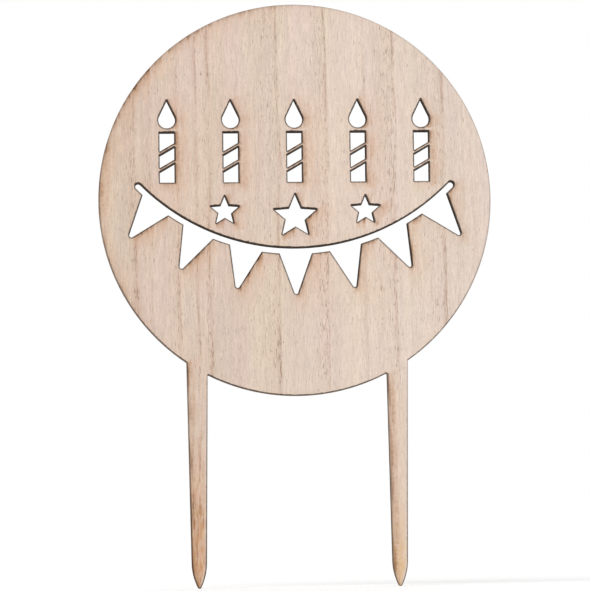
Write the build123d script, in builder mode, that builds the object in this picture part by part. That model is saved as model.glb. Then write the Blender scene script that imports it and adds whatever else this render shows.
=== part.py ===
from build123d import *

import os
from math import acos, asin, cos, degrees, pi, sin, sqrt

# Round wooden cake topper: a pierced disc on two pointed stakes, cut by laser in one pass from
# three-ply sheet. The sheet is two face veneers glued to a core ply, so every layer has the same
# outline and the same cut-outs.
#
# Millimetres. The sheet stands in the XZ plane with its show face towards -Y and +Z up. The origin
# is midway between the stakes, in the middle of the sheet, level with the lowest point of the disc:
# there the top of the cake lies when the stakes are pushed right in.

# Blank
disc_diameter = 150.0
stake_spacing = 76.3  # between the stakes' centre lines
stake_length = 73.4  # from the disc's lowest point to the stake's sharp end, before its nose is rounded
stake_root_width = 7.7  # level with the disc's lowest point
stake_end_width = 5.8  # where the pointed end begins
stake_point_length = 10.5
stake_nose_radius = 0.75
notch_radius = 0.3  # inside corners between stake and disc

# Layers of the sheet
face_veneer_thickness = 0.55
glue_line_thickness = 0.1
core_thickness = 1.7

# Row of candles
candle_count = 5
candle_width = 5.6
candle_height = 19.0
candle_rim_margin = 26.0  # from the outer candles to the disc's edge, level with their feet
candle_foot_share = 0.545  # of the disc's diameter, from its lowest point
bridge_count = 2
bridge_width = 1.5  # wood left between a candle's stripes
bridge_slope = 30.0  # degrees
wick_gap = 1.8
flame_width = 6.4
flame_height = 10.5

# Swag of bunting
cord_width = 2.2
cord_sag = 25.0
cord_rim_margin = 15.0  # from the cord's ends to the disc's edge
cord_end_share = 0.535  # of the disc's diameter, from its lowest point
pennant_count = 7
pennant_width = 13.0
pennant_height = 18.0
pennant_tip_radius = 0.8

# Stars between the candles and the swag
star_points = 5
star_inner_share = 0.45  # of the star's radius, at the inner corners
middle_star_radius = 8.5
side_star_radius = 5.6
side_star_share = 0.45  # of half the swag's span, from the centre line

disc_radius = disc_diameter / 2
sheet_thickness = 2 * face_veneer_thickness + 2 * glue_line_thickness + core_thickness


def half_chord(height):
    # Half the disc's width at a height above its lowest point
    return sqrt(disc_radius**2 - (height - disc_radius) ** 2)


# Stake: straight tapered sides that run up into the disc, and a point of two arcs tangent to them
point_height = stake_point_length - stake_length
side_slope = (stake_root_width - stake_end_width) / (2 * -point_height)
stake_top_half = stake_root_width / 2 + side_slope * disc_radius
stake_end_half = stake_end_width / 2

with BuildSketch() as stake:
    with BuildLine():
        Line((0, disc_radius), (stake_top_half, disc_radius))
        side = Line((stake_top_half, disc_radius), (stake_end_half, point_height))
        TangentArc(side @ 1, (0, -stake_length), tangent=side % 1)
        mirror(about=Plane.YZ)
    make_face()
    fillet(stake.vertices().sort_by(Axis.Y)[0], stake_nose_radius)

# Candle: a striped body with the flame above it, foot at the origin
stripe_pitch = candle_height / (bridge_count + 1)
flame_radius = flame_width / 2
flame_foot = candle_height + wick_gap
belly_height = flame_foot + flame_radius
tip_height = flame_foot + flame_height
shoulder = degrees(acos(flame_radius / (tip_height - belly_height)))  # where the sides leave the belly

with BuildSketch() as flame:
    with BuildLine():
        belly = CenterArc((0, belly_height), flame_radius, 90 + shoulder, 360 - 2 * shoulder)
        Polyline(belly @ 1, (0, tip_height), belly @ 0)
    make_face()

with BuildSketch() as candle:
    with Locations((0, candle_height / 2)):
        Rectangle(candle_width, candle_height)
        with GridLocations(0, stripe_pitch, 1, bridge_count):
            Rectangle(2 * candle_width, bridge_width, rotation=bridge_slope, mode=Mode.SUBTRACT)
    add(flame.sketch)

# Pennant: hangs along +X from the cord, which its top edge meets at the origin
with BuildSketch() as pennant:
    with BuildLine():
        Polyline(
            (0, -pennant_width / 2),
            (pennant_height, 0),
            (0, pennant_width / 2),
            close=True,
        )
    make_face()
    fillet(pennant.vertices().sort_by(Axis.X)[-1], pennant_tip_radius)

# Swag: the cord sags as an arc about a centre above it
cord_end_height = cord_end_share * disc_diameter
cord_half_span = half_chord(cord_end_height) - cord_rim_margin
cord_radius = (cord_half_span**2 + cord_sag**2) / (2 * cord_sag)
cord_centre_height = cord_end_height - cord_sag + cord_radius
cord_half_angle = degrees(asin(cord_half_span / cord_radius))
pennant_pitch = 2 * cord_half_angle / pennant_count
pennant_start = -90 - cord_half_angle + pennant_pitch / 2
pennant_range = 2 * cord_half_angle - pennant_pitch

with BuildSketch() as bunting:
    with BuildLine(mode=Mode.PRIVATE) as cord:
        CenterArc((0, cord_centre_height), cord_radius, -90 - cord_half_angle, 2 * cord_half_angle)
    SlotArc(cord.edge(), cord_width)
    with Locations((0, cord_centre_height)):
        with PolarLocations(cord_radius, pennant_count, pennant_start, pennant_range, endpoint=True):
            add(pennant.sketch)

# Star: outer and inner corners in turn, one point straight up
def star_outline(radius):
    for corner in range(2 * star_points):
        reach = radius if corner % 2 == 0 else radius * star_inner_share
        angle = pi / 2 + corner * pi / star_points
        yield (reach * cos(angle), reach * sin(angle))


# Stars hang midway between the candles' feet and the cord below them
candle_foot_height = candle_foot_share * disc_diameter


def star_height(x):
    cord_height = cord_centre_height - sqrt(cord_radius**2 - x**2)
    return (candle_foot_height + cord_height) / 2


side_star_x = side_star_share * cord_half_span
stars = (
    (0, middle_star_radius),
    (-side_star_x, side_star_radius),
    (side_star_x, side_star_radius),
)

# Profile that the laser follows
candle_row_half = half_chord(candle_foot_height) - candle_rim_margin
candle_pitch = 2 * candle_row_half / (candle_count - 1)

with BuildSketch(Plane.XZ) as profile:
    with Locations((0, disc_radius)):
        Circle(disc_radius)
    with GridLocations(stake_spacing, 0, 2, 1):
        add(stake.sketch)
    fillet(profile.vertices().filter_by_position(Axis.Y, 0, disc_radius, (False, False)), notch_radius)
    with Locations((0, candle_foot_height)):
        with GridLocations(candle_pitch, 0, candle_count, 1):
            add(candle.sketch, mode=Mode.SUBTRACT)
    add(bunting.sketch, mode=Mode.SUBTRACT)
    for x, radius in stars:
        with Locations((x, star_height(x))):
            Polygon(*star_outline(radius), align=None, mode=Mode.SUBTRACT)

# Layers from the show face to the back
layers = (
    ("front_veneer", face_veneer_thickness),
    ("front_glue_line", glue_line_thickness),
    ("core_ply", core_thickness),
    ("back_glue_line", glue_line_thickness),
    ("back_veneer", face_veneer_thickness),
)

os.makedirs("parts", exist_ok=True)
depth = 0
for name, thickness in layers:
    depth += thickness
    with BuildPart() as layer:
        with BuildSketch(Plane.XZ.offset(sheet_thickness / 2 - depth)):
            add(profile.sketch_local)
        extrude(amount=thickness)
    layer.part.label = name
    export_step(layer.part, f"parts/{name}.step")
    print(name, "solids", len(layer.part.solids()), "volume", round(layer.part.volume, 1))
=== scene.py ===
import math

import bpy
import numpy as np
from mathutils import Matrix, Vector
from mathutils.geometry import delaunay_2d_cdt
from mathutils.kdtree import KDTree


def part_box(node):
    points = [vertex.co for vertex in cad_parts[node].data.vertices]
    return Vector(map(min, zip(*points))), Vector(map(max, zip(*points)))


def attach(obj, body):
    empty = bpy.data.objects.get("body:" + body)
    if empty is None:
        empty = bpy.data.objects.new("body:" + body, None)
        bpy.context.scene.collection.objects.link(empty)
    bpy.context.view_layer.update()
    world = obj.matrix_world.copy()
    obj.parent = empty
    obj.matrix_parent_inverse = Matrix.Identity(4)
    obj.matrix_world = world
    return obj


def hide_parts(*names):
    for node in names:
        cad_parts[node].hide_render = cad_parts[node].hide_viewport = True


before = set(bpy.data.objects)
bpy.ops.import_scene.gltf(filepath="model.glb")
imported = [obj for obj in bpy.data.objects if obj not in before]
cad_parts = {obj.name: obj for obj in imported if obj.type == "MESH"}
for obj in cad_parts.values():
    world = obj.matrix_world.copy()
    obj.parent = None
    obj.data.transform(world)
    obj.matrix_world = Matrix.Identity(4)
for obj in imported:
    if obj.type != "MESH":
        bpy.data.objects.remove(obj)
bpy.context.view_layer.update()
discRadius = (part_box("front_veneer")[1].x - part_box("front_veneer")[0].x) / 2
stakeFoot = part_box("front_veneer")[0].z
mm = 0.001
print("frame loaded, disc radius", round(discRadius, 4), "stake foot", round(stakeFoot, 4))


# small helpers for node trees

def paint(red, green, blue):  # screen values 0 to 255 to the linear colour that a shader takes
    levels = [level / 255 for level in (red, green, blue)]
    linear = [((c + 0.055) / 1.055) ** 2.4 if c > 0.04045 else c / 12.92 for c in levels]
    return (*linear, 1)


def plug(tree, value, socket):  # a link from another node, or a constant
    if isinstance(value, bpy.types.NodeSocket):
        tree.links.new(value, socket)
    else:
        socket.default_value = value


def addNode(tree, kind, inputs=None, **settings):
    made = tree.nodes.new(kind)
    for name, value in settings.items():
        setattr(made, name, value)
    for name, value in (inputs or {}).items():
        plug(tree, value, made.inputs[name])
    return made


def addOut(tree, kind, inputs=None, **settings):  # a node of which only the first output is used
    return addNode(tree, kind, inputs, **settings).outputs[0]


def calc(tree, operation, *values, clamp=False):
    return addOut(tree, "ShaderNodeMath", dict(enumerate(values)), operation=operation, use_clamp=clamp)


def product(tree, first, *others):
    for other in others:
        first = calc(tree, "MULTIPLY", first, other)
    return first


def swing(tree, noise, depth, middle):  # noise from 0 to 1 moves a value about its middle
    return calc(tree, "MULTIPLY_ADD", calc(tree, "SUBTRACT", noise, 0.5), depth, middle)


def asShare(tree, value, clamp=False):  # -1 to 1 becomes 0 to 1
    return calc(tree, "MULTIPLY_ADD", value, 0.5, 0.5, clamp=clamp)


def vectorCalc(tree, operation, *values):
    names = (0, "Scale" if operation == "SCALE" else 1)
    made = addNode(tree, "ShaderNodeVectorMath", dict(zip(names, values)), operation=operation)
    return made.outputs["Value" if operation in ("DOT_PRODUCT", "LENGTH") else "Vector"]


def split(tree, vector):
    return addNode(tree, "ShaderNodeSeparateXYZ", {0: vector}).outputs


def remap(tree, value, fromLow, fromHigh, toLow=0, toHigh=1):
    inputs = {"Value": value, "From Min": fromLow, "From Max": fromHigh, "To Min": toLow, "To Max": toHigh}
    return addOut(tree, "ShaderNodeMapRange", inputs, interpolation_type="SMOOTHSTEP")


def blendValue(tree, factor, low, high):
    return calc(tree, "MULTIPLY_ADD", factor, calc(tree, "SUBTRACT", high, low), low)


def blendColour(tree, factor, low, high, kind="MIX"):
    made = addNode(tree, "ShaderNodeMix", data_type="RGBA", blend_type=kind)
    sockets = {socket.identifier: socket for socket in made.inputs}
    for name, value in (("Factor_Float", factor), ("A_Color", low), ("B_Color", high)):
        plug(tree, value, sockets[name])
    return next(socket for socket in made.outputs if socket.identifier == "Result_Color")


def noiseAt(tree, vector, perMm, detail=2, shift=0, roughness=0.5):
    scaled = vectorCalc(tree, "MULTIPLY", vector, [features / mm for features in perMm])
    moved = vectorCalc(tree, "ADD", scaled, (shift, shift, shift))
    inputs = {"Vector": moved, "Scale": 1, "Detail": detail, "Roughness": roughness}
    return addOut(tree, "ShaderNodeTexNoise", inputs)


def noiseSet(tree, vector, waves):  # a wave: features a millimetre along X, Y and Z, detail, shift, roughness
    return {name: noiseAt(tree, vector, *wave) for name, wave in waves.items()}


def newGroup(name, inputs, outputs, kind="ShaderNodeTree"):
    tree = bpy.data.node_groups.new(name, kind)
    for label, socket, value in inputs:
        made = tree.interface.new_socket(label, in_out="INPUT", socket_type=socket)
        if value is not None:
            made.default_value = value
    for label, socket in outputs:
        tree.interface.new_socket(label, in_out="OUTPUT", socket_type=socket)
    return tree, tree.nodes.new("NodeGroupInput").outputs, tree.nodes.new("NodeGroupOutput").inputs


# the blank: outlines of the disc, stakes and cut-outs, read from the frame and cut into fine steps

blankCut = {
    "faceSlack": 0.01 * mm,  # a point this near to the show face lies on it
    "weld": 0.001 * mm,  # points nearer than this are one
    "step": 0.3 * mm,  # along a cut
    "corner": 35,  # degrees, a sharper turn stays a corner
    "tangentRatio": 2.5,  # a side this much longer than the next leads into it
    "rings": (0.25 * mm, 0.6 * mm, 1.1 * mm, 1.8 * mm, 2.8 * mm, 4.2 * mm),  # rows of points beside a cut
    "fan": 15,  # degrees between points round a corner
    "miter": 2,  # longest reach of a corner point, in set-backs
    "clearance": 0.96,  # of a row's distance, nearer to another cut a point is left out
    "gridPitch": 2.4 * mm,  # out on the open face
    "rayBatch": 2000,  # points tested at a time
    "snap": 1e-5,  # of a millimetre, for the triangles
}


def cutLoops(nodeName, values):
    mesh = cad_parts[nodeName].data
    mesh.calc_loop_triangles()
    places = np.array([v.co for v in mesh.vertices])
    corners = np.array([t.vertices for t in mesh.loop_triangles])
    onFace = places[:, 1] < places[:, 1].min() + values["faceSlack"]
    cells = np.round(places / values["weld"]).astype(int)
    unique, merged = np.unique(cells, axis=0, return_inverse=True)
    flat = np.zeros((len(unique), 2))
    flat[merged] = places[:, [0, 2]]
    faces = merged.reshape(-1)[corners[onFace[corners].all(1)]]
    halfEdges = {(a, b) for face in faces for a, b in zip(face, np.roll(face, -1))}
    following = {a: b for a, b in halfEdges if (b, a) not in halfEdges}
    loops = []
    while following:
        start = min(following)
        loop = [start]
        while (after := following.pop(loop[-1])) != start:
            loop.append(after)
        loops.append(flat[loop])
    return loops  # wood always lies to the left


def turned(direction, angle):
    c, s = np.cos(angle), np.sin(angle)
    return np.array([c * direction[0] - s * direction[1], s * direction[0] + c * direction[1]])


def turnBetween(before, after):
    return math.atan2(before[0] * after[1] - before[1] * after[0], before @ after)


def fineLoop(loop, values):  # the frame's flats become arcs again, and every stretch gets even steps
    count = len(loop)
    chords = np.roll(loop, -1, 0) - loop
    lengths = np.linalg.norm(chords, axis=1)
    ways = chords / lengths[:, None]
    tangents = []
    for i in range(count):
        before, after = lengths[i - 1], lengths[i]
        if abs(turnBetween(ways[i - 1], ways[i])) > math.radians(values["corner"]):
            tangents.append(None)
        elif before > values["tangentRatio"] * after:
            tangents.append(ways[i - 1])
        elif after > values["tangentRatio"] * before:
            tangents.append(ways[i])
        else:
            mean = ways[i - 1] * after + ways[i] * before
            tangents.append(mean / np.linalg.norm(mean))
    points = []
    for i in range(count):
        way, length = ways[i], lengths[i]
        leave, arrive = tangents[i], tangents[(i + 1) % count]
        if leave is None:
            leave = way if arrive is None else 2 * (arrive @ way) * way - arrive
        if arrive is None:
            arrive = 2 * (leave @ way) * way - leave
        steps = max(1, round(length / values["step"]))
        for t in np.arange(steps) / steps:
            points.append(
                (2 * t**3 - 3 * t**2 + 1) * loop[i]
                + (t**3 - 2 * t**2 + t) * length * leave
                + (3 * t**2 - 2 * t**3) * loop[(i + 1) % count]
                + (t**3 - t**2) * length * arrive
            )
    return np.array(points)


def isInside(points, loops, batch):  # even and odd crossings of a ray along +X
    crossings = np.zeros(len(points), int)
    for loop in loops:
        start, end = loop, np.roll(loop, -1, 0)
        rise = np.where(end[:, 1] == start[:, 1], 1, end[:, 1] - start[:, 1])
        for first in range(0, len(points), batch):
            x, z = points[first : first + batch].T[:, :, None]
            spans = (start[:, 1] > z) != (end[:, 1] > z)
            meets = start[:, 0] + (z - start[:, 1]) / rise * (end[:, 0] - start[:, 0])
            crossings[first : first + batch] += (spans & (x < meets)).sum(1)
    return crossings % 2 == 1


def flatSheet(name, loops, values, rings):  # the sheet as it lies on the laser's bed, show face up
    cut = np.concatenate(loops)
    tree = KDTree(len(cut))
    for i, point in enumerate(cut):
        tree.insert((*point, 0), i)
    tree.balance()
    inward, rows, edges = [], [], []
    for loop in loops:
        first = len(inward)
        count = len(loop)
        ways = np.roll(loop, -1, 0) - loop
        ways /= np.linalg.norm(ways, axis=1)[:, None]
        for i in range(count):
            edges.append((first + i, first + (i + 1) % count))
            turn = turnBetween(ways[i - 1], ways[i])
            square = turned(ways[i - 1], math.pi / 2)
            middle = turned(square, turn / 2)
            inward.append(middle / max(math.cos(turn / 2), 1 / values["miter"]))
            fan = math.ceil(max(0, -turn) / math.radians(values["fan"]))
            spread = [turned(square, turn * k / fan) for k in range(fan + 1)] if fan > 1 else [middle]
            for distance in rings:
                stride = max(1, round(distance / (2 * values["step"])))
                if fan <= 1 and i % stride:
                    continue
                for normal in spread:
                    spot = loop[i] + normal * distance
                    if tree.find((*spot, 0))[2] > values["clearance"] * distance:
                        rows.append(spot)
    if rings:
        low, high = cut.min(0), cut.max(0)
        pitch = values["gridPitch"]
        grid = np.stack(np.meshgrid(*[np.arange(a, b, pitch) for a, b in zip(low, high)]), -1)
        grid[1::2, :, 0] += pitch / 2
        grid = grid.reshape(-1, 2)
        clear = [tree.find((*spot, 0))[2] > max(rings) + pitch / 2 for spot in grid]
        grid = grid[np.array(clear)]
        rows += list(grid[isInside(grid, loops, values["rayBatch"])])
    points = np.concatenate([cut, np.array(rows).reshape(-1, 2)])
    made = delaunay_2d_cdt([Vector(p / mm) for p in points], edges, [], 0, values["snap"])
    places = np.array(made[0]) * mm
    source = [s[0] for s in made[3]]
    faces = np.array(made[2])
    onCut = np.array(source) < len(cut)
    doubtful = onCut[faces].all(1)  # these may lie across a cut-out
    keep = ~doubtful
    keep[doubtful] = isInside(places[faces[doubtful]].mean(1), loops, values["rayBatch"])
    mesh = bpy.data.meshes.new(name)
    mesh.from_pydata([(x, y, 0) for x, y in places], [], faces[keep].tolist())
    towards = mesh.attributes.new("inward", "FLOAT_VECTOR", "POINT")
    for i, s in enumerate(source):
        if s < len(cut):
            towards.data[i].vector = (*inward[s], 0)
    print(name, len(mesh.vertices), "points", len(mesh.polygons), "faces")
    return mesh


# one ply: the flat sheet pushed up to its thickness, its cut roughened by the beam, then stood on edge

plyTree, plyIn, plyOut = newGroup(
    "laserCutPly",
    (
        ("Geometry", "NodeSocketGeometry", None),
        ("Thickness", "NodeSocketFloat", 0.55 * mm),
        ("Hidden Plane", "NodeSocketFloat", 0),  # Y of the side that is glued
        ("Faces Back", "NodeSocketBool", False),
        ("Arris", "NodeSocketFloat", 0.08 * mm),  # burnt off along the edge of the face
        ("Set Back", "NodeSocketFloat", 0),  # eaten away more than the other plies
        ("Groove Depth", "NodeSocketFloat", 0.02 * mm),
        ("Grooves A Metre", "NodeSocketFloat", 1500),
        ("Seed", "NodeSocketInt", 0),
        ("Face Material", "NodeSocketMaterial", None),
        ("Cut Material", "NodeSocketMaterial", None),
    ),
    (("Geometry", "NodeSocketGeometry"),),
    "GeometryNodeTree",
)
plyEdges = {
    "grooveDetail": 1,
    "weld": 0.001 * mm,
    "crease": 30,  # degrees, a sharper edge isn't shaded smooth
}


def buildPlyTree(values):
    tree = plyTree
    place = addOut(tree, "GeometryNodeInputPosition")
    inward = addOut(tree, "GeometryNodeInputNamedAttribute", {"Name": "inward"}, data_type="FLOAT_VECTOR")
    neighbours = addOut(tree, "GeometryNodeInputMeshEdgeNeighbors")
    isCut = addOut(tree, "FunctionNodeCompare", {2: neighbours, 3: 1}, data_type="INT", operation="EQUAL")

    # how far each point lies from the nearest cut, and on which side of it
    sheet = plyIn["Geometry"]
    cutOnly = {"Geometry": sheet, "Selection": isCut}
    line = addOut(tree, "GeometryNodeSeparateGeometry", cutOnly, domain="EDGE")
    near = addNode(tree, "GeometryNodeProximity", {"Geometry": line}, target_element="EDGES").outputs
    side = vectorCalc(tree, "NORMALIZE", vectorCalc(tree, "SUBTRACT", place, near["Position"]))
    for name, value, kind in (("cutDistance", near["Distance"], "FLOAT"), ("cutSide", side, "FLOAT_VECTOR")):
        stored = {"Geometry": sheet, "Name": name, "Value": value}
        sheet = addOut(tree, "GeometryNodeStoreNamedAttribute", stored, data_type=kind)

    # grooves that the beam leaves run through the sheet, so they are the same on both of its sides
    beam = {"Vector": place, "W": plyIn["Seed"], "Scale": plyIn["Grooves A Metre"]}
    beam["Detail"] = values["grooveDetail"]
    grooves = addOut(tree, "ShaderNodeTexNoise", beam, noise_dimensions="4D")
    bite = swing(tree, grooves, plyIn["Groove Depth"], plyIn["Set Back"])
    moved = vectorCalc(tree, "SCALE", inward, bite)
    sheet = addOut(tree, "GeometryNodeSetPosition", {"Geometry": sheet, "Offset": moved})

    # glued side, filled between the cuts, and the ply pushed up from it in two steps, wall and arris
    outline = addOut(tree, "GeometryNodeMeshToCurve", {"Mesh": sheet, "Selection": isCut})
    under = addOut(tree, "GeometryNodeFillCurve", {"Curve": outline}, mode="TRIANGLES")
    under = addOut(tree, "GeometryNodeFlipFaces", {"Mesh": under})
    up = {"Offset": (0, 0, 1), "Individual": False}
    wallUp = {"Mesh": sheet, "Offset Scale": calc(tree, "SUBTRACT", plyIn["Thickness"], plyIn["Arris"]), **up}
    wall = addNode(tree, "GeometryNodeExtrudeMesh", wallUp, mode="FACES").outputs
    edgeUp = {"Mesh": wall["Mesh"], "Selection": wall["Top"], "Offset Scale": plyIn["Arris"], **up}
    edge = addNode(tree, "GeometryNodeExtrudeMesh", edgeUp, mode="FACES").outputs
    pulledIn = vectorCalc(tree, "SCALE", inward, plyIn["Arris"])
    pulled = {"Geometry": edge["Mesh"], "Selection": edge["Top"], "Offset": pulledIn}
    both = addNode(tree, "GeometryNodeJoinGeometry")
    for part in (addOut(tree, "GeometryNodeSetPosition", pulled), under):
        tree.links.new(part, both.inputs[0])
    welded = {"Geometry": both.outputs[0], "Distance": values["weld"]}
    solid = addOut(tree, "GeometryNodeMergeByDistance", welded)

    # stand it up: the bed's Y becomes Z, and height above the bed becomes depth from the glued side
    lying = split(tree, place)
    facing = {"Switch": plyIn["Faces Back"], "False": -1, "True": 1}
    way = addOut(tree, "GeometryNodeSwitch", facing, input_type="FLOAT")
    depth = calc(tree, "MULTIPLY_ADD", lying["Z"], way, plyIn["Hidden Plane"])
    standing = addOut(tree, "ShaderNodeCombineXYZ", {"X": lying["X"], "Y": depth, "Z": lying["Y"]})
    solid = addOut(tree, "GeometryNodeSetPosition", {"Geometry": solid, "Position": standing})
    solid = addOut(tree, "GeometryNodeFlipFaces", {"Mesh": solid, "Selection": plyIn["Faces Back"]})

    # smooth but for the creases, then char on the cut and wood on the face
    bend = addNode(tree, "GeometryNodeInputMeshEdgeAngle").outputs["Unsigned Angle"]
    sharp = {0: bend, 1: math.radians(values["crease"])}
    crease = addOut(tree, "FunctionNodeCompare", sharp, operation="GREATER_THAN")
    solid = addOut(tree, "GeometryNodeSetShadeSmooth", {"Geometry": solid, "Shade Smooth": True})
    creased = {"Geometry": solid, "Selection": crease, "Shade Smooth": False}
    solid = addOut(tree, "GeometryNodeSetShadeSmooth", creased, domain="EDGE")
    solid = addOut(tree, "GeometryNodeRealizeInstances", {"Geometry": solid})
    solid = addOut(tree, "GeometryNodeSetMaterial", {"Geometry": solid, "Material": plyIn["Cut Material"]})
    faced = {"Geometry": solid, "Selection": edge["Top"], "Material": plyIn["Face Material"]}
    tree.links.new(addOut(tree, "GeometryNodeSetMaterial", faced), plyOut["Geometry"])


buildPlyTree(plyEdges)
print("ply tree built")


# zones of the sheet that the beam treats differently
# ranges, here and in the looks: two numbers become 0 and 1, or what two more numbers say

zones = {
    "rim": (0.93 * discRadius, 0.95 * discRadius),  # from the disc's middle
    "stakes": (4 * mm, -8 * mm),  # height
    "rightHand": (-20 * mm, 20 * mm),
}


def reachFromMiddle(tree, vector):
    return vectorCalc(tree, "LENGTH", vectorCalc(tree, "SUBTRACT", vector, (0, 0, discRadius)))


# veneer grain: growth rings along Z, crowded pores on one side of each, fibres and a slow drift of tone

grainGroup, grainIn, grainOut = newGroup(
    "veneerGrain",
    (
        ("Vector", "NodeSocketVector", None),
        ("Ring Shift", "NodeSocketFloat", 0),  # moves the rings sideways, in disc radii
        ("Seed", "NodeSocketFloat", 0),
    ),
    (("Color", "NodeSocketColor"), ("Pores", "NodeSocketFloat"), ("Height", "NodeSocketFloat")),
)
veneerGrain = {
    "noise": {
        "wander": ((0.012, 0.02, 0.016), 1),
        "thinning": ((0.05, 0.05, 0.014), 2, 5.7),
        "breaks": ((0.3, 0.3, 0.05), 3, 3.1),
        "drift": ((0.05, 0.05, 0.005), 2, 4.6),
        "band": ((0.5, 0.4, 0.02), 2, 7.3),
        "fibre": ((2.6, 1.0, 0.24), 2),
        "hair": ((9.0, 2.0, 0.35), 2, 11.3, 0.6),
        "fleck": ((3.2, 1.0, 1.0), 1, 6.4),
        "pink": ((0.12, 0.1, 0.012), 3, 2.8),
        "gold": ((0.09, 0.1, 0.015), 3, 8.2),
        "dashes": ((3.3, 1.0, 0.34), 2, 1.7),
    },
    # rings: place across the disc in radii, width of the crowded pores before it in radii, strength
    "rings": (
        (-0.81, 0.07, 0.8),
        (-0.73, 0.05, 0.55),
        (-0.59, 0.06, 0.8),
        (-0.50, 0.05, 0.75),
        (-0.433, 0.07, 1.0),
        (-0.083, 0.13, 0.95),
        (0.165, 0.12, 0.8),
        (0.36, 0.06, 0.35),
        (0.515, 0.12, 0.9),
        (0.765, 0.13, 0.95),
    ),
    "ringEdges": (0.016, 0.004),  # a ring's dark line before and after its place, in radii
    "crowdEnd": 0.008,  # how fast the crowded pores end after it
    "wander": 0.06,  # how far the rings bend, in radii
    "thinning": (0.35, 0.6, 0.5, 1),
    "ringBreaks": (0.38, 0.62, 0.12, 1),
    "stakeRings": (-5 * mm, 15 * mm, 0.15, 1),  # fewer show in the stakes
    "ring": paint(172, 120, 98),
    "ringDepth": 0.46,
    # darker and pinker at the disc's left, paler at its right
    "leftWood": paint(222, 200, 183),
    "rightWood": paint(231, 213, 199),
    "shades": {
        "drift": 0.22,  # slow light and dark across the sheet
        "band": 0.18,
        "fibre": 0.42,
        "hair": 0.42,  # finest fibres, seen only close up
        "fleck": 0.3,
    },
    "green": 0.09,  # depth of the slow drift between pink and green
    "yellow": 0.16,  # and between yellow and blue
    "crowdShade": -0.04,  # where pores crowd
    "crowdTint": (1.0, 0.975, 0.945, 1),
    "pore": paint(134, 104, 84),
    "poreLevel": 0.675,  # a higher one leaves fewer pores
    "poreCrowding": -0.13,
    "poreRing": -0.07,  # and more so on the ring itself
    "poreEdge": 0.05,
    "poreDepth": 0.6,
    "relief": {"fibre": 0.4, "hair": 0.5},
    "poreRelief": -0.8,
}


def ringRamp(tree, place, stops):
    ramp = addNode(tree, "ShaderNodeValToRGB", {"Fac": place})
    elements = ramp.color_ramp.elements
    while len(elements) < len(stops):
        elements.new(0.5)
    for element, (position, value) in zip(elements, sorted(stops)):
        element.position = position
        element.color = (value, value, value, 1)
    return ramp.outputs["Color"]


def buildGrain(values):
    tree = grainGroup
    offset = addOut(tree, "ShaderNodeCombineXYZ", {"Y": grainIn["Seed"]})
    vector = vectorCalc(tree, "ADD", grainIn["Vector"], offset)
    spot = split(tree, vector)
    noise = noiseSet(tree, vector, values["noise"])
    across = calc(tree, "ADD", calc(tree, "DIVIDE", spot["X"], discRadius), grainIn["Ring Shift"])

    # rings, with the disc's left edge at 0 on the ramp and its right edge at 1
    crowd, line = [], []
    before, after = values["ringEdges"]
    for ringPlace, width, strength in values["rings"]:
        at = 0.5 + ringPlace / 2
        crowd += [(at - width / 2, 0), (at, strength), (at + values["crowdEnd"] / 2, 0)]
        line += [(at - before / 2, 0), (at, strength), (at + after / 2, 0)]
    place = asShare(tree, swing(tree, noise["wander"], values["wander"], across))
    shown = remap(tree, spot["Z"], *values["stakeRings"])
    thinned = remap(tree, noise["thinning"], *values["thinning"])
    broken = remap(tree, noise["breaks"], *values["ringBreaks"])
    crowded = product(tree, ringRamp(tree, place, crowd), thinned, shown)
    ringLine = product(tree, ringRamp(tree, place, line), shown, broken)

    colour = blendColour(tree, asShare(tree, across, clamp=True), values["leftWood"], values["rightWood"])
    shade = calc(tree, "MULTIPLY_ADD", crowded, values["crowdShade"], 1)
    for name, depth in values["shades"].items():
        shade = swing(tree, noise[name], depth, shade)
    green = product(tree, shade, swing(tree, noise["pink"], values["green"], 1))
    blue = product(tree, shade, swing(tree, noise["gold"], values["yellow"], 1))
    tint = addOut(tree, "ShaderNodeCombineColor", {0: shade, 1: green, 2: blue})
    colour = blendColour(tree, 1, colour, tint, "MULTIPLY")
    colour = blendColour(tree, crowded, colour, values["crowdTint"], "MULTIPLY")
    colour = blendColour(tree, product(tree, ringLine, values["ringDepth"]), colour, values["ring"])

    level = calc(tree, "MULTIPLY_ADD", crowded, values["poreCrowding"], values["poreLevel"])
    level = calc(tree, "MULTIPLY_ADD", ringLine, values["poreRing"], level)
    pores = remap(tree, noise["dashes"], level, calc(tree, "ADD", level, values["poreEdge"]))
    colour = blendColour(tree, product(tree, pores, values["poreDepth"]), colour, values["pore"])
    height = product(tree, pores, values["poreRelief"])
    for name, depth in values["relief"].items():
        height = calc(tree, "MULTIPLY_ADD", noise[name], depth, height)
    for name, value in (("Color", colour), ("Pores", pores), ("Height", height)):
        tree.links.new(value, grainOut[name])


buildGrain(veneerGrain)


# scorch beside a cut: a thin burnt line, brown that fades from it, and a tan halo where the smoke drifted

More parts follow.
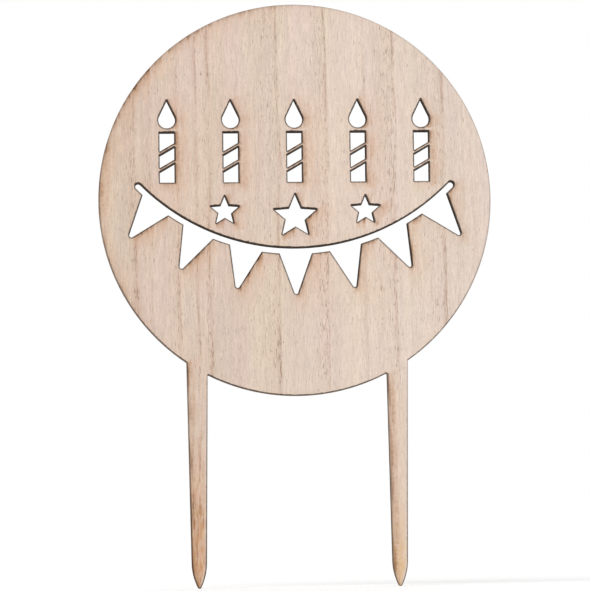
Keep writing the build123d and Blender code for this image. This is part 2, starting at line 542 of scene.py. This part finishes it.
scorchGroup, scorchIn, scorchOut = newGroup(
    "laserScorch",
    (
        ("Color", "NodeSocketColor", (1, 1, 1, 1)),
        ("Vector", "NodeSocketVector", None),
        ("Distance", "NodeSocketFloat", 1),
        ("Side", "NodeSocketVector", None),  # away from the nearest cut
        ("Smoke Drift", "NodeSocketVector", (1, 0, 0)),
        ("Burn And Shade Side", "NodeSocketVector", (0, 1, 0)),  # the outer edge's burnt line is deepest here, towards the bottom: partly burn, partly painted shade of the wall that faces down
    ),
    (("Color", "NodeSocketColor"), ("Char", "NodeSocketFloat")),
)
laserScorch = {
    "noise": {
        "ragged": ((0.9, 0.2, 0.9), 3),
        "patches": ((0.09, 0.05, 0.07), 2, 5.1),
        "streaks": ((0.8, 0.2, 0.07), 3, 12.6, 0.6),
        "mottle": ((0.55, 0.2, 0.2), 5, 9.4, 0.7),
        "pale": ((1.2, 0.2, 0.13), 3, 7.7, 0.6),
        "blush": ((1.2, 0.2, 0.13), 3, 1.3, 0.6),
        "rust": ((1.2, 0.2, 0.13), 3, 3.9, 0.6),
    },
    # smoke, by the side of the cut
    "smokeSide": (0.1, 1.0, 0.05, 1),
    "smokePatches": (0.3, 0.6, 0.55, 1.2),
    "smokeStreaks": (0.3, 0.7, 0.4, 1.6),
    "smokeReach": (0.25, 0.75, 0.7, 1.3),  # ragged, so that it fades unevenly
    "rimSmoke": (0.1, 0.6, 0.6, 1),  # less at the top of the disc's edge
    "hazeSide": (-1, 0.5, 0.3, 1),
    "hazeDepth": (0.92 * discRadius, 0.78 * discRadius, 0, 0.12),  # thin, only round the cut-outs
    "hazeFade": 6.0 * mm,
    "tan": paint(218, 168, 128),
    "tanDepth": 0.7,
    "tanFade": 2.6 * mm,
    "brown": paint(66, 46, 34),
    "brownDepth": 0.9,
    "brownFade": 0.72 * mm,
    # stakes
    "stakeSmoke": (1.15, 0.66),  # left stake, right stake
    "stakeTan": 0.6,  # share of the tan
    "leftStake": paint(203, 157, 117),
    "rightStake": paint(226, 186, 130),
    "stakeFrom": (-6 * mm, -30 * mm),  # left, right: height at which the browning begins
    "stakeDepth": (1.25, 0.68),  # left, right
    "stakeMottle": (0.3, 0.7, 0.3, 1.3),
    "rootHeight": (6 * mm, -4 * mm),
    "rootDepth": (0.05, 0.1),  # left, right
    "pale": paint(231, 204, 168),
    "blush": paint(225, 179, 157),
    "rust": paint(170, 115, 80),
    "patchDepths": {"pale": (0.6, 0.3), "blush": (0.65, 0.25), "rust": (0.8, 0.12)},  # left, right
    "patchHeight": (0, -45 * mm, 0.1, 1),
    "patchEdge": (0.5, 0.64),
    "stakeHalo": paint(176, 124, 84),
    "haloSide": (0.5, 0.9),
    "haloFrom": (0.3 * mm, 1.0 * mm),  # clear of the burnt line
    "haloFade": 1.4 * mm,
    "haloDepth": (0.12, 0.92),  # left, right
    "lee": paint(232, 219, 208),
    "leeSide": (-0.6, -0.95),
    "leeStrip": (1.5 * mm, 0.5 * mm, 0, 0.5),  # paler along the lee edge
    # burnt line
    "burn": paint(30, 19, 12),
    "burnDepth": 0.92,
    "lineWidth": 0.6 * mm,
    "lineCore": 0.38 * mm,
    "lineRagged": (0.25, 0.75, 0.75, 1.25),
    "upperLine": (0, 0.8, 1, 1.36),  # wider above a cut-out: partly burn, partly painted shade of the wall that faces down there
    "holeLine": 0.86,  # strength round a cut-out
    "holeBurnAndShadeTilt": (0.02, 0.2, 0),  # deeper on this side, above a cut-out: partly burn, partly painted shade
    "rimTurn": (0.59, 0.41),  # how the strength turns with the side, on the disc's edge, deepest at the bottom: partly painted shade
    "rimPower": 1.8,
    "rimLine": (1.1, 0.1),  # strength that turns, partly painted shade, and strength all round
    "stakeLine": (0, stakeFoot, 0.6, 0.95),  # from root to end
    "windwardSide": (-0.2, 0.4),
    "windwardLine": (0.86, 0.42),  # left, right: share on their left edges
    "leewardSide": (0.2, -0.4),
    "leewardLine": (0.9, 0.72),  # left, right: share on their right edges
}


def buildScorch(values):
    tree = scorchGroup
    vector, distance, away = scorchIn["Vector"], scorchIn["Distance"], scorchIn["Side"]
    noise = noiseSet(tree, vector, values["noise"])
    smoke = vectorCalc(tree, "DOT_PRODUCT", away, scorchIn["Smoke Drift"])
    line = vectorCalc(tree, "DOT_PRODUCT", away, scorchIn["Burn And Shade Side"])
    side = split(tree, away)
    spot = split(tree, vector)
    reach = reachFromMiddle(tree, vector)
    isRim = remap(tree, reach, *zones["rim"])
    onStake = remap(tree, spot["Z"], *zones["stakes"])
    rightHand = remap(tree, spot["X"], *zones["rightHand"])

    def ranged(value, name):
        return remap(tree, value, *values[name])

    def faded(length, name):
        return calc(tree, "EXPONENT", calc(tree, "MULTIPLY", length, -1 / values[name]))

    def byStake(pair):
        return blendValue(tree, rightHand, *pair)

    def share(mask, amount):  # 1 off the mask, amount on it
        return blendValue(tree, mask, 1, amount)

    # smoke drifts to one side and settles in streaks along the grain
    streaks = ranged(noise["streaks"], "smokeStreaks")
    discOnly = calc(tree, "SUBTRACT", isRim, onStake)
    downwind = product(
        tree,
        ranged(smoke, "smokeSide"),
        ranged(noise["patches"], "smokePatches"),
        streaks,
        share(discOnly, ranged(side["X"], "rimSmoke")),
        share(onStake, byStake(values["stakeSmoke"])),
    )
    uneven = product(tree, distance, ranged(noise["ragged"], "smokeReach"))
    haze = product(tree, faded(distance, "hazeFade"), ranged(smoke, "hazeSide"), ranged(reach, "hazeDepth"))
    colour = blendColour(tree, haze, scorchIn["Color"], values["tan"])
    tan = product(tree, faded(uneven, "tanFade"), downwind, values["tanDepth"])
    tan = product(tree, tan, share(onStake, values["stakeTan"]))
    colour = blendColour(tree, tan, colour, values["tan"])
    brown = product(tree, faded(uneven, "brownFade"), downwind, values["brownDepth"])

    # narrow stakes take the heat of two cuts, and brown towards the end
    low = remap(tree, spot["Z"], byStake(values["stakeFrom"]), stakeFoot)
    browned = product(tree, low, byStake(values["stakeDepth"]), ranged(noise["mottle"], "stakeMottle"))
    root = remap(tree, spot["Z"], *values["rootHeight"], 0, byStake(values["rootDepth"]))
    stakeTan = blendColour(tree, rightHand, values["leftStake"], values["rightStake"])
    colour = blendColour(tree, calc(tree, "MAXIMUM", browned, root), colour, stakeTan)
    patchy = product(tree, ranged(spot["Z"], "patchHeight"), onStake)
    for name, depths in values["patchDepths"].items():
        patch = product(tree, ranged(noise[name], "patchEdge"), patchy, byStake(depths))
        colour = blendColour(tree, patch, colour, values[name])
    halo = product(
        tree,
        faded(uneven, "haloFade"),
        ranged(distance, "haloFrom"),
        ranged(side["X"], "haloSide"),
        byStake(values["haloDepth"]),
        streaks,
        onStake,
    )
    colour = blendColour(tree, halo, colour, values["stakeHalo"])
    strip = product(tree, ranged(side["X"], "leeSide"), ranged(distance, "leeStrip"), onStake)
    colour = blendColour(tree, strip, colour, values["lee"])
    colour = blendColour(tree, brown, colour, values["brown"])

    # the burnt line is nearly even round a cut-out but deeper and wider above it, and on the outer edge
    # deeper on one side, towards the bottom; both are partly painted shade
    # on the disc's edge the line deepens towards the bottom: partly burn, partly painted shade
    rimLine = calc(tree, "MULTIPLY_ADD", line, *values["rimTurn"], clamp=True)
    rimLine = calc(tree, "MULTIPLY_ADD", calc(tree, "POWER", rimLine, values["rimPower"]), *values["rimLine"])
    stakeLine = product(
        tree,
        ranged(spot["Z"], "stakeLine"),
        share(ranged(side["X"], "windwardSide"), byStake(values["windwardLine"])),
        share(ranged(side["X"], "leewardSide"), byStake(values["leewardLine"])),
    )
    # above a cut-out the line is deeper and wider: partly burn, partly painted shade of the wall that faces
    # down
    burnAndShadeTilt = vectorCalc(tree, "DOT_PRODUCT", away, values["holeBurnAndShadeTilt"])
    holeLine = calc(tree, "ADD", burnAndShadeTilt, values["holeLine"])
    strength = blendValue(tree, isRim, holeLine, blendValue(tree, onStake, rimLine, stakeLine))
    thicker = ranged(calc(tree, "SUBTRACT", side["Y"], isRim), "upperLine")
    width = product(tree, ranged(noise["ragged"], "lineRagged"), values["lineWidth"], thicker)
    core = product(tree, thicker, values["lineCore"])
    char = product(tree, remap(tree, distance, width, core), strength)
    colour = blendColour(tree, product(tree, char, values["burnDepth"]), colour, values["burn"])
    tree.links.new(colour, scorchOut["Color"])
    tree.links.new(calc(tree, "MAXIMUM", char, brown), scorchOut["Char"])


buildScorch(laserScorch)


# charred wall of a cut, with grooves through the sheet

charGroup, charIn, charOut = newGroup(
    "cutChar",
    (
        ("Vector", "NodeSocketVector", None),
        ("Wood", "NodeSocketColor", (0.2, 0.1, 0.05, 1)),
        ("Char", "NodeSocketColor", (0.02, 0.01, 0.01, 1)),
        ("Outer Wood", "NodeSocketColor", (0.3, 0.2, 0.1, 1)),  # paler round the outside
        ("Fibres A Metre", "NodeSocketVector", (3000, 3000, 300)),
    ),
    (("Color", "NodeSocketColor"), ("Height", "NodeSocketFloat")),
)
cutChar = {
    "noise": {
        "grooves": ((3.0, 0.15, 3.0), 2),
        "patches": ((0.12, 0.3, 0.12), 3, 2.2),
    },
    "bareGrooves": (0.42, 0.72),  # wood shows where both are high
    "barePatches": (0.34, 0.62),
    "rimShare": 0.75,  # of the outer wood, against all of it on the stakes
    "outerGrooves": (0.3, 0.7, 0.35, 0.9),
    "fibreDetail": 3,
    "fibreShade": (0.3, 0.7, 0.7, 1.3),
}


def buildChar(values):
    tree = charGroup
    vector = charIn["Vector"]
    noise = noiseSet(tree, vector, values["noise"])
    grooves = noise["grooves"]
    bareGrooves = remap(tree, grooves, *values["bareGrooves"])
    bare = product(tree, bareGrooves, remap(tree, noise["patches"], *values["barePatches"]))
    colour = blendColour(tree, bare, charIn["Char"], charIn["Wood"])
    onStake = remap(tree, split(tree, vector)["Z"], *zones["stakes"])
    onRim = remap(tree, reachFromMiddle(tree, vector), *zones["rim"], 0, values["rimShare"])
    outer = calc(tree, "MAXIMUM", onStake, onRim)
    outer = product(tree, outer, remap(tree, grooves, *values["outerGrooves"]))
    colour = blendColour(tree, outer, colour, charIn["Outer Wood"])
    along = vectorCalc(tree, "MULTIPLY", vector, charIn["Fibres A Metre"])
    fibre = addOut(tree, "ShaderNodeTexNoise", {"Vector": along, "Scale": 1, "Detail": values["fibreDetail"]})
    fibre = remap(tree, fibre, *values["fibreShade"])
    fibre = addOut(tree, "ShaderNodeCombineColor", {0: fibre, 1: fibre, 2: fibre})
    colour = blendColour(tree, 1, colour, fibre, "MULTIPLY")
    tree.links.new(colour, charOut["Color"])
    tree.links.new(grooves, charOut["Height"])


buildChar(cutChar)
print("shared looks built")


# finishes: veneer faces and the cut walls of each kind of ply

veneerFaces = {
    "roughness": 0.62,
    "poreRoughness": 0.15,
    "charRoughness": 0.2,
    "bump": (0.25, 0.06 * mm),  # strength and depth
    "specular": 0.16,
    "finishes": {
        "frontVeneerFace": {
            "grain": {"Ring Shift": 0.0, "Seed": 0.0},
            "scorch": {"Smoke Drift": (0.86, -0.51, 0), "Burn And Shade Side": (0.11, 0.99, 0)},
        },
        "backVeneerFace": {
            "grain": {"Ring Shift": 0.21, "Seed": 0.5},
            "scorch": {"Smoke Drift": (-0.5, -0.87, 0), "Burn And Shade Side": (0.25, 0.97, 0)},
        },
    },
}
cutWalls = {
    "roughness": 0.8,
    "grooveRoughness": 0.15,
    "bump": (0.5, 0.08 * mm),
    "specular": 0.0,
    "finishes": {
        "veneerCut": {
            "Wood": paint(96, 69, 51),
            "Char": paint(25, 19, 15),
            "Outer Wood": paint(140, 107, 81),
            "Fibres A Metre": (4000, 4000, 300),
        },
        "coreCut": {
            "Wood": paint(78, 56, 41),
            "Char": paint(21, 16, 13),
            "Outer Wood": paint(112, 84, 63),
            "Fibres A Metre": (300, 3000, 3000),
        },
        "glueCut": {
            "Wood": paint(30, 22, 18),
            "Char": paint(12, 9, 8),
            "Outer Wood": paint(50, 37, 29),
            "Fibres A Metre": (900, 900, 900),
        },
    },
}


def newMaterial(name):
    made = bpy.data.materials.new(name)
    made.use_nodes = True
    made.node_tree.nodes.clear()
    return made, made.node_tree


def finishMaterial(tree, colour, roughness, height, values):
    strength, distance = values["bump"]
    relief = addOut(tree, "ShaderNodeBump", {"Height": height, "Strength": strength, "Distance": distance})
    inputs = {"Base Color": colour, "Roughness": roughness, "Normal": relief}
    inputs["Specular IOR Level"] = values["specular"]
    shader = addOut(tree, "ShaderNodeBsdfPrincipled", inputs)
    addNode(tree, "ShaderNodeOutputMaterial", {"Surface": shader})


def veneerFace(name, values, looks):
    made, tree = newMaterial(name)
    vector = addNode(tree, "ShaderNodeTexCoord").outputs["Object"]
    distance = addNode(tree, "ShaderNodeAttribute", attribute_name="cutDistance").outputs["Fac"]
    side = addNode(tree, "ShaderNodeAttribute", attribute_name="cutSide").outputs["Vector"]
    wood = {"Vector": vector, **looks["grain"]}
    grain = addNode(tree, "ShaderNodeGroup", wood, node_tree=grainGroup).outputs
    burnt = {"Color": grain["Color"], "Vector": vector, "Distance": distance, "Side": side, **looks["scorch"]}
    scorch = addNode(tree, "ShaderNodeGroup", burnt, node_tree=scorchGroup).outputs
    rough = calc(tree, "MULTIPLY_ADD", grain["Pores"], values["poreRoughness"], values["roughness"])
    rough = calc(tree, "MULTIPLY_ADD", scorch["Char"], values["charRoughness"], rough)
    finishMaterial(tree, scorch["Color"], rough, grain["Height"], values)
    return made


def cutWall(name, values, looks):
    made, tree = newMaterial(name)
    vector = addNode(tree, "ShaderNodeTexCoord").outputs["Object"]
    burnt = addNode(tree, "ShaderNodeGroup", {"Vector": vector, **looks}, node_tree=charGroup).outputs
    rough = calc(tree, "MULTIPLY_ADD", burnt["Height"], values["grooveRoughness"], values["roughness"])
    finishMaterial(tree, burnt["Color"], rough, burnt["Height"], values)
    return made


finishes = {}
for makeFinish, finishValues in ((veneerFace, veneerFaces), (cutWall, cutWalls)):
    for finishName, finishLooks in finishValues["finishes"].items():
        finishes[finishName] = makeFinish(finishName, finishValues, finishLooks)
print("finishes built", list(finishes))


# the five plies, front to back

plies = {
    "frontVeneer": {
        "node": "front_veneer", "slot": "face_veneer", "face": "frontVeneerFace", "cut": "veneerCut",
        "arris": 0.08 * mm, "setBack": 0.02 * mm, "seed": 1, "back": False, "fine": True,
    },
    "frontGlueLine": {
        "node": "front_glue_line", "slot": "glue_line", "face": "glueCut", "cut": "glueCut",
        "arris": 0.02 * mm, "setBack": 0.06 * mm, "seed": 2, "back": False, "fine": False,
    },
    "corePly": {
        "node": "core_ply", "slot": "core_ply", "face": "coreCut", "cut": "coreCut",
        "arris": 0.02 * mm, "setBack": 0.035 * mm, "seed": 3, "back": False, "fine": False,
    },
    "backGlueLine": {
        "node": "back_glue_line", "slot": "glue_line", "face": "glueCut", "cut": "glueCut",
        "arris": 0.02 * mm, "setBack": 0.06 * mm, "seed": 4, "back": False, "fine": False,
    },
    "backVeneer": {
        "node": "back_veneer", "slot": "face_veneer", "face": "backVeneerFace", "cut": "veneerCut",
        "arris": 0.08 * mm, "setBack": 0.02 * mm, "seed": 5, "back": True, "fine": True,
    },
}

outlines = [fineLoop(loop, blankCut) for loop in cutLoops("front_veneer", blankCut)]
print("outlines", len(outlines), "points", sum(len(loop) for loop in outlines))
fineSheet = flatSheet("fineSheet", outlines, blankCut, blankCut["rings"])
plainSheet = flatSheet("plainSheet", outlines, blankCut, ())


def makePly(name, ply):
    low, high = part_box(ply["node"])
    piece = bpy.data.objects.new(name, (fineSheet if ply["fine"] else plainSheet).copy())
    bpy.context.scene.collection.objects.link(piece)
    modifier = piece.modifiers.new("laserCutPly", "NODES")
    modifier.node_group = plyTree
    inputs = {
        "Thickness": high.y - low.y,
        "Hidden Plane": low.y if ply["back"] else high.y,
        "Faces Back": ply["back"],
        "Arris": ply["arris"],
        "Set Back": ply["setBack"],
        "Seed": ply["seed"],
        "Face Material": finishes[ply["face"]],
        "Cut Material": finishes[ply["cut"]],
    }
    for item in plyTree.interface.items_tree:
        if item.in_out == "INPUT" and item.name in inputs:
            modifier[item.identifier] = inputs[item.name]
    depsgraph = bpy.context.evaluated_depsgraph_get()
    mesh = bpy.data.meshes.new_from_object(piece.evaluated_get(depsgraph), depsgraph=depsgraph)
    piece.modifiers.remove(modifier)
    piece.data = mesh
    mesh.name = name
    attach(piece, "root")
    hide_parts(ply["node"])
    print(name, len(mesh.vertices), "points", len(mesh.polygons), "faces")


for plyName, plyValues in plies.items():
    makePly(plyName, plyValues)


# studio: pale floor, white surround, a soft key lamp and a weaker one behind

studio = {
    "floorSize": 8.0,
    "floorColour": (0.85, 0.85, 0.85, 1),
    "floorLift": 0.19,  # only where it is seen, so that the floor meets the white surround
    "white": (1, 1, 1, 1),
    "surround": 0.6,
    "key": {"aim": (0.45, 0.75, -0.65), "softness": 40, "strength": 1.2},
    "fill": {"aim": (-0.5, -0.8, -0.55), "softness": 60, "strength": 0.9},
}


def whereSeen(tree):  # 1 for the camera and in gloss or glass, 0 for light that falls on the object
    path = addNode(tree, "ShaderNodeLightPath").outputs
    seen = calc(tree, "MAXIMUM", path["Is Camera Ray"], path["Is Glossy Ray"])
    return calc(tree, "MAXIMUM", seen, path["Is Transmission Ray"])


def makeFloor(values):
    half = values["floorSize"] / 2
    mesh = bpy.data.meshes.new("floor")
    corners = [(-half, -half), (half, -half), (half, half), (-half, half)]
    mesh.from_pydata([(x, y, stakeFoot) for x, y in corners], [], [(0, 1, 2, 3)])
    floor = bpy.data.objects.new("floor", mesh)
    bpy.context.scene.collection.objects.link(floor)
    made, tree = newMaterial("paleFloor")
    matt = addOut(tree, "ShaderNodeBsdfDiffuse", {"Color": values["floorColour"]})
    lift = product(tree, whereSeen(tree), values["floorLift"])
    glow = addOut(tree, "ShaderNodeEmission", {"Color": values["white"], "Strength": lift})
    shader = addOut(tree, "ShaderNodeAddShader", {0: matt, 1: glow})
    addNode(tree, "ShaderNodeOutputMaterial", {"Surface": shader})
    mesh.materials.append(made)


def makeSurround(values):
    world = bpy.data.worlds.new("surround")
    world.use_nodes = True
    tree = world.node_tree
    tree.nodes.clear()
    strength = blendValue(tree, whereSeen(tree), values["surround"], 1)
    shader = addOut(tree, "ShaderNodeBackground", {"Color": values["white"], "Strength": strength})
    addNode(tree, "ShaderNodeOutputWorld", {"Surface": shader})
    bpy.context.scene.world = world


def makeLamp(name, values):
    data = bpy.data.lights.new(name, "SUN")
    data.energy = values["strength"]
    data.angle = math.radians(values["softness"])
    lamp = bpy.data.objects.new(name, data)
    lamp.rotation_euler = Vector(values["aim"]).to_track_quat("-Z", "Y").to_euler()
    bpy.context.scene.collection.objects.link(lamp)


makeFloor(studio)
makeSurround(studio)
makeLamp("keyLamp", studio["key"])
makeLamp("fillLamp", studio["fill"])


# camera: from low on the left, a long lens

photoView = {
    "place": (-0.0883, -1.3, -0.058),
    "yaw": 3.865,  # degrees to the right of +Y
    "pitch": 4.228,  # degrees up
    "roll": -0.788,
    "focal": 3427.0,  # in pixels of the picture
    "pictureWidth": 590,
    "sensor": 36.0,
    "clipStart": 0.01,
}


def makeCamera(values):
    data = bpy.data.cameras.new("photoCamera")
    data.sensor_fit = "HORIZONTAL"
    data.sensor_width = values["sensor"]
    data.lens = values["focal"] / values["pictureWidth"] * values["sensor"]
    data.clip_start = values["clipStart"]
    camera = bpy.data.objects.new("photoCamera", data)
    turn = Matrix.Rotation(math.radians(-values["yaw"]), 4, "Z")
    turn = turn @ Matrix.Rotation(math.radians(90 + values["pitch"]), 4, "X")
    turn = turn @ Matrix.Rotation(math.radians(values["roll"]), 4, "Z")
    camera.matrix_world = Matrix.Translation(values["place"]) @ turn
    bpy.context.scene.collection.objects.link(camera)
    bpy.context.scene.camera = camera


makeCamera(photoView)
bpy.context.scene.view_settings.view_transform = "Standard"
print("studio and camera set")
